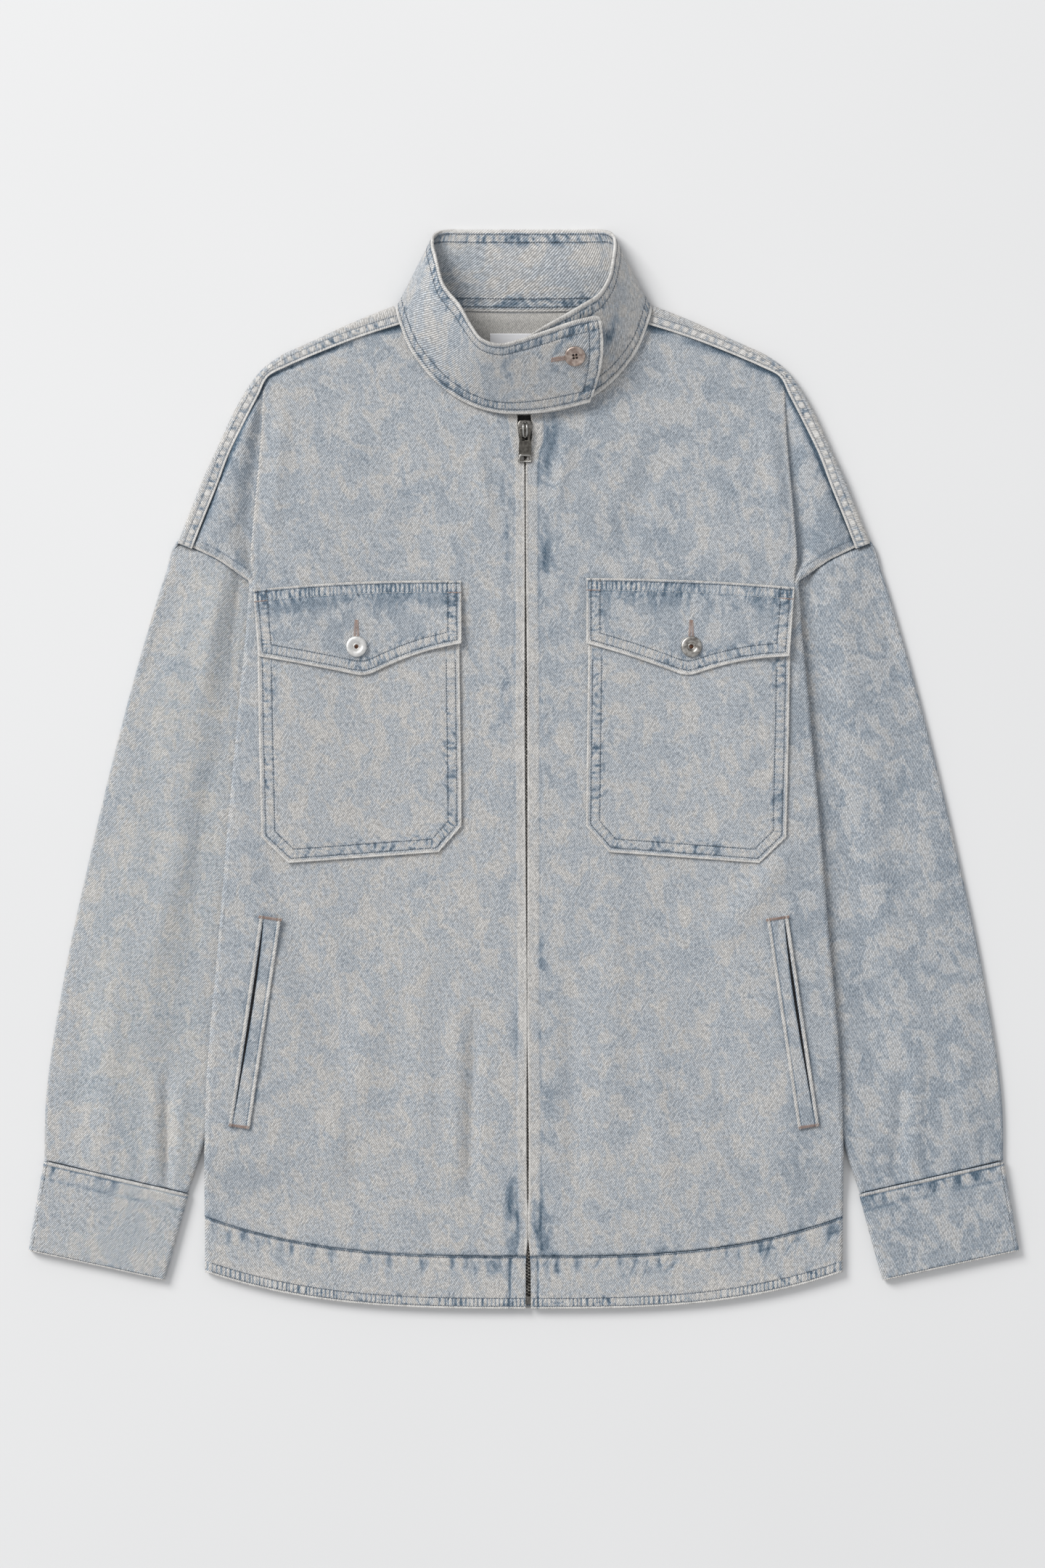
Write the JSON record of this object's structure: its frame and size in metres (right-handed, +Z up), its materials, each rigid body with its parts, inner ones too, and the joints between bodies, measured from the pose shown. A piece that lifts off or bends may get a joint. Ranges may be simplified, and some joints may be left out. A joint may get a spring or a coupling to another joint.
{
  "type": "denim overshirt",
  "caption": "Denim overshirt laid flat on its back: stand collar with a buttoned tab, full zip, two flapped chest pockets, two slanted welt pockets, cuffed sleeves and a curved hem band.",
  "frame": {"origin": "on the surface the garment lies on, under the middle of its box", "axes": "+Z up, out of the front; +Y to the collar; +X to the right of someone looking down on the front"},
  "size_m": [0.7778, 0.8479, 0.043],
  "materials": {
    "denim": "acid-washed light blue twill",
    "tape": "black woven tape",
    "gunmetal": "dark antique metal",
    "bright_metal": "worn bright nickel",
    "bronze": "antique bronze",
    "label": "plain white woven label"
  },
  "bodies": {
    "garment": {"back": "denim", "front_left": "denim", "front_right": "denim", "sleeve_left": "denim", "sleeve_right": "denim", "cuff_left": "denim", "cuff_right": "denim", "collar": "denim", "hem_front_left": "denim", "hem_front_right": "denim", "hem_back": "denim", "pocket_left": "denim", "pocket_right": "denim", "flap_left": "denim", "flap_right": "denim", "welt_left": "denim", "welt_right": "denim", "zip_tape_left": "tape", "zip_tape_right": "tape", "zip_box": "gunmetal", "zip_slider": "gunmetal", "zip_bail": "gunmetal", "button_collar": "bronze", "button_left": "bright_metal", "button_right": "bright_metal", "neck_label": "label"},
    "pull_tab": {"zip_pull": "gunmetal"}
  },
  "joints": [
    {"name": "pull_tab_swing", "type": "hinge", "parent": "garment", "child": "pull_tab", "pos_m": [0.0009, 0.266, 0.0109], "axis": [-1, 0, 0], "range_deg": [0, 140]}
  ]
}
